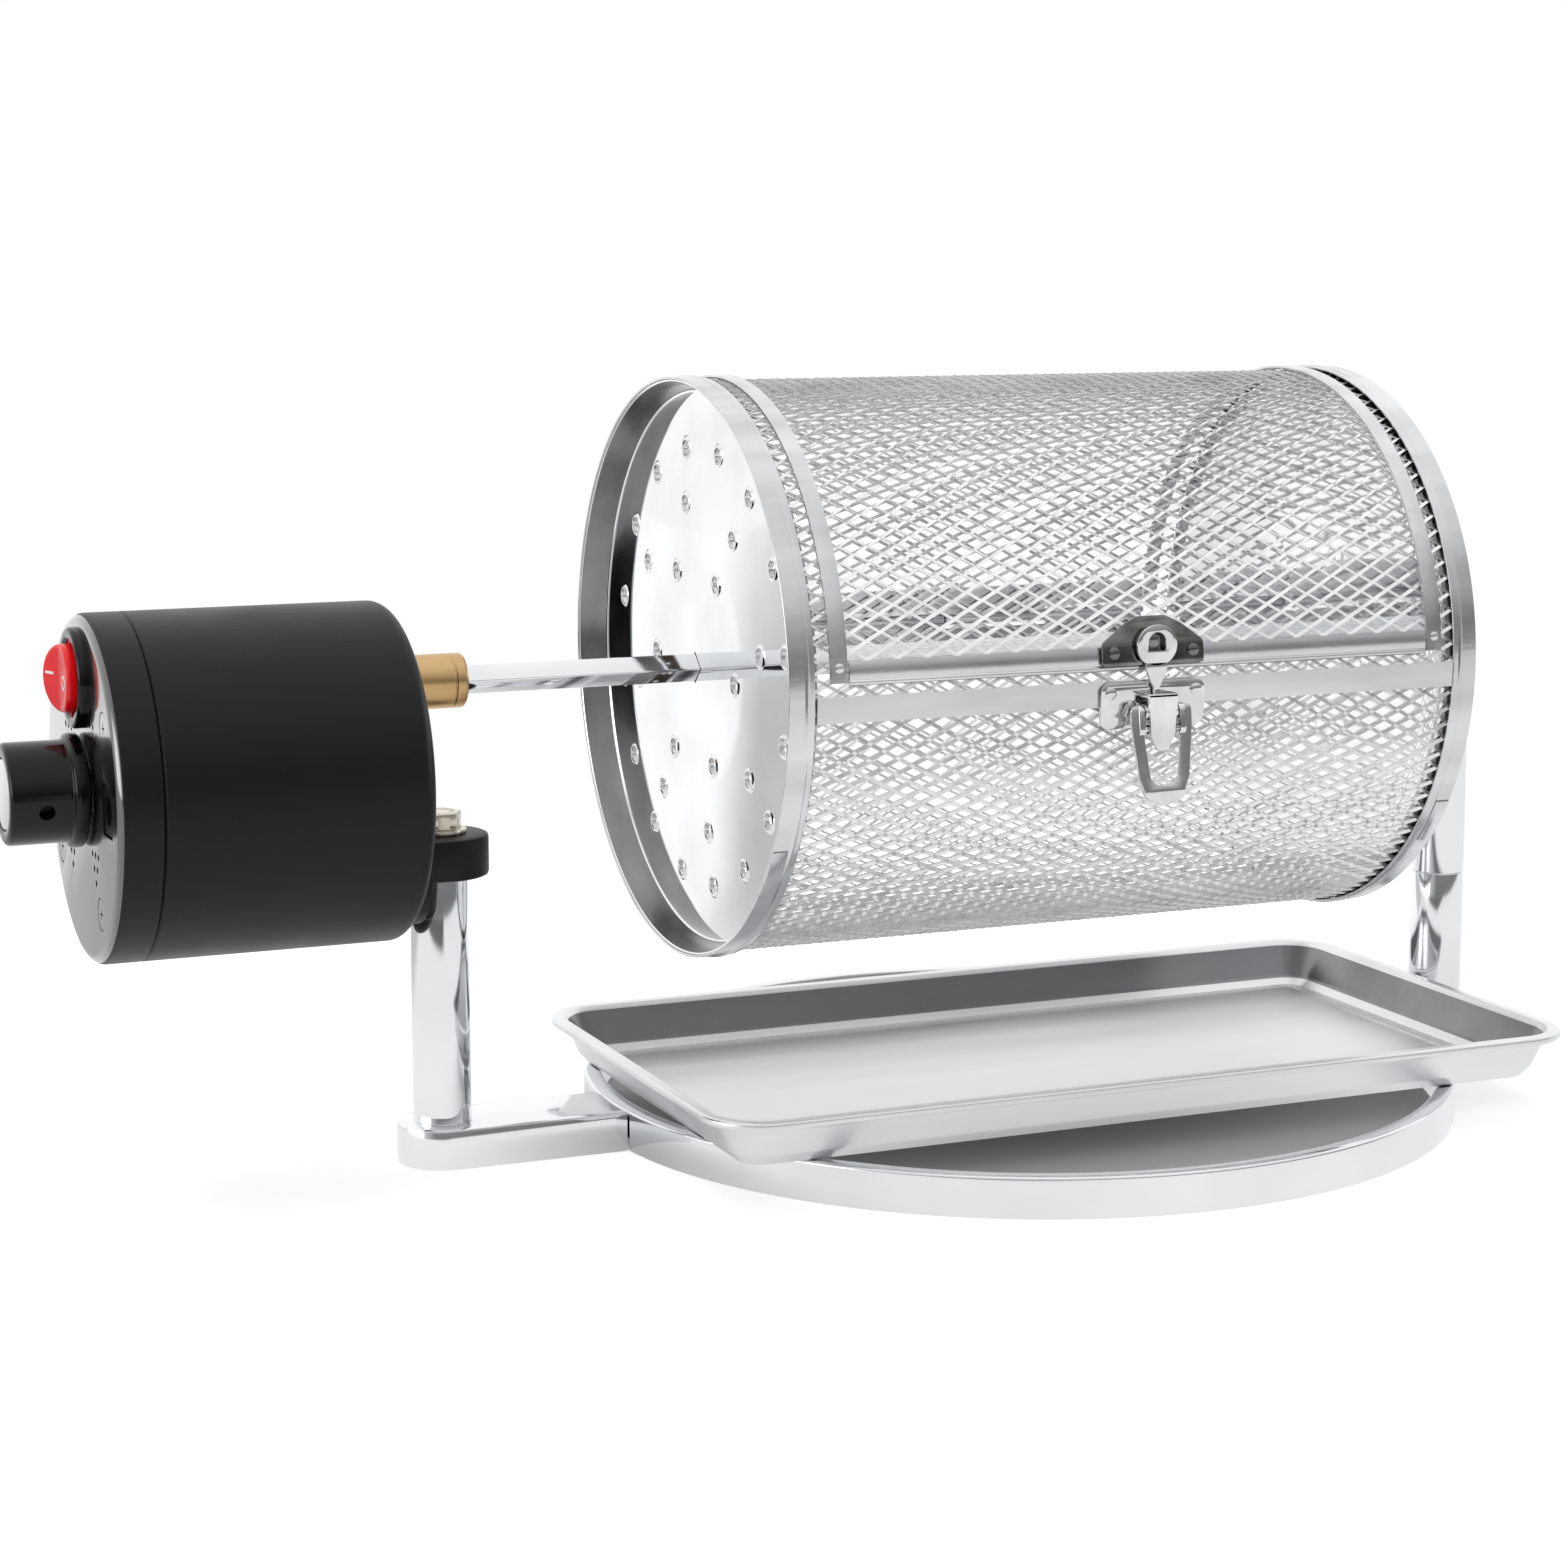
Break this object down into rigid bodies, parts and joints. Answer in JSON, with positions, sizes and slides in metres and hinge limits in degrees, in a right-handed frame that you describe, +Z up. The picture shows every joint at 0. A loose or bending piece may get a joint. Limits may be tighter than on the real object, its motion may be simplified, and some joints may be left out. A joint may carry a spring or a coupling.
{
  "type": "drum coffee roaster",
  "caption": "Table-top roaster: expanded-metal drum with a latched door on a square spit, geared motor in a round housing, ring base on two posts, tray below.",
  "frame": {"origin": "middle of the footprint, on the table", "axes": "+X from the motor to the far post along the drum's axis, -Y the side with the door latch, +Z up"},
  "size_m": [0.3954, 0.223, 0.1869],
  "materials": {
    "chromed_bar": "mirror chrome",
    "fastener_steel": "zinc plated",
    "black_paint": "matt black powder coat",
    "black_plastic": "matt",
    "black_screw": "blackened steel",
    "black_gloss": "gloss",
    "satin_aluminium": "spun satin",
    "inner_steel": "plain pressed steel",
    "circuit_board": "green solder mask",
    "red_plastic": "gloss",
    "nylon": "plain",
    "bronze": "sintered bronze",
    "brass": "turned brass",
    "drum_sheet": "bright stainless sheet",
    "expanded_metal": "bright stainless expanded mesh",
    "latch_steel": "nickel plated",
    "tray_aluminium": "satin"
  },
  "bodies": {
    "base": {"base_ring": "chromed_bar", "drive_arm": "chromed_bar", "far_arm": "chromed_bar", "drive_post": "chromed_bar", "far_post": "chromed_bar", "far_fork": "chromed_bar", "drive_post_screw": "fastener_steel", "far_post_screw": "fastener_steel", "motor_bracket": "black_paint", "bracket_washer": "fastener_steel", "bracket_bolt": "fastener_steel", "bracket_screw_1": "fastener_steel", "bracket_screw_2": "fastener_steel", "motor_housing": "black_paint", "housing_cap": "black_plastic", "cap_screw_1": "black_screw", "cap_screw_2": "black_screw", "cap_screw_3": "black_screw", "potentiometer": "inner_steel", "potentiometer_nut": "fastener_steel", "speed_board": "circuit_board", "rocker_switch_body": "black_gloss", "dc_jack": "black_plastic", "gearbox_case": "inner_steel", "gearbox_plate": "inner_steel", "output_bush": "bronze", "motor_can": "inner_steel", "motor_end_cap": "nylon"},
    "drum": {"output_gear": "inner_steel", "output_shaft": "inner_steel", "brass_coupling": "brass", "coupling_set_screw": "black_screw", "spit_shaft": "chromed_bar", "far_bush": "bronze", "left_end_hoop": "drum_sheet", "right_end_hoop": "drum_sheet", "left_end_plate": "drum_sheet", "right_end_plate": "drum_sheet", "drum_body_mesh": "expanded_metal", "body_front_strip": "drum_sheet", "body_back_hinge": "drum_sheet", "hinge_pin": "fastener_steel", "latch_base": "latch_steel"},
    "second_idler": {"idler_gear_2": "nylon"},
    "first_idler": {"idler_gear_1": "nylon"},
    "rotor": {"motor_rotor": "inner_steel"},
    "knob": {"control_knob": "black_gloss", "knob_insert": "satin_aluminium", "knob_set_screw": "black_screw", "knob_shaft": "fastener_steel"},
    "rocker": {"rocker_button": "red_plastic"},
    "door": {"door_mesh": "expanded_metal", "door_left_band": "drum_sheet", "door_right_band": "drum_sheet", "door_front_strip": "drum_sheet", "door_back_hinge": "drum_sheet", "latch_catch": "latch_steel"},
    "lever": {"latch_lever": "latch_steel"},
    "link": {"latch_link": "latch_steel"},
    "tray": {"collecting_tray": "tray_aluminium"}
  },
  "joints": [
    {"name": "drum_spin", "type": "hinge", "parent": "base", "child": "drum", "pos_m": [0.05615, 0, 0.1162], "axis": [1, 0, 0], "continuous": true},
    {"name": "second_idler_spin", "type": "hinge", "parent": "base", "child": "second_idler", "pos_m": [-0.11835, 0.01156, 0.1067], "axis": [1, 0, 0], "continuous": true},
    {"name": "first_idler_spin", "type": "hinge", "parent": "base", "child": "first_idler", "pos_m": [-0.12135, 0, 0.09721], "axis": [1, 0, 0], "continuous": true},
    {"name": "rotor_spin", "type": "hinge", "parent": "base", "child": "rotor", "pos_m": [-0.14035, 0, 0.08225], "axis": [1, 0, 0], "continuous": true},
    {"name": "knob_turn", "type": "hinge", "parent": "base", "child": "knob", "pos_m": [-0.18635, 0, 0.0958], "axis": [-1, 0, 0], "range_deg": [-150, 150]},
    {"name": "rocker_tilt", "type": "hinge", "parent": "base", "child": "rocker", "pos_m": [-0.18135, 0, 0.1214], "axis": [0, 0, -1], "range_deg": [0, 20]},
    {"name": "door_hinge", "type": "hinge", "parent": "drum", "child": "door", "pos_m": [0.05615, 0.0722, 0.1162], "axis": [-1, 0, 0], "range_deg": [0, 150]},
    {"name": "latch_lever_swing", "type": "hinge", "parent": "drum", "child": "lever", "pos_m": [0.05685, -0.0742, 0.1102], "axis": [-1, 0, 0], "range_deg": [0, 150]},
    {"name": "latch_link_swing", "type": "hinge", "parent": "lever", "child": "link", "pos_m": [0.05685, -0.07476, 0.10624], "axis": [-1, 0, 0], "range_deg": [-150, 0]},
    {"name": "tray_slide", "type": "slide", "parent": "base", "child": "tray", "axis": [0, -1, 0], "range_m": [0, 0.15]}
  ],
  "couplings": [
    {"joint": "second_idler_spin", "follows": "drum_spin", "ratio": -4},
    {"joint": "first_idler_spin", "follows": "drum_spin", "ratio": 16},
    {"joint": "rotor_spin", "follows": "drum_spin", "ratio": -64},
    {"joint": "latch_link_swing", "follows": "latch_lever_swing", "ratio": -1}
  ]
}
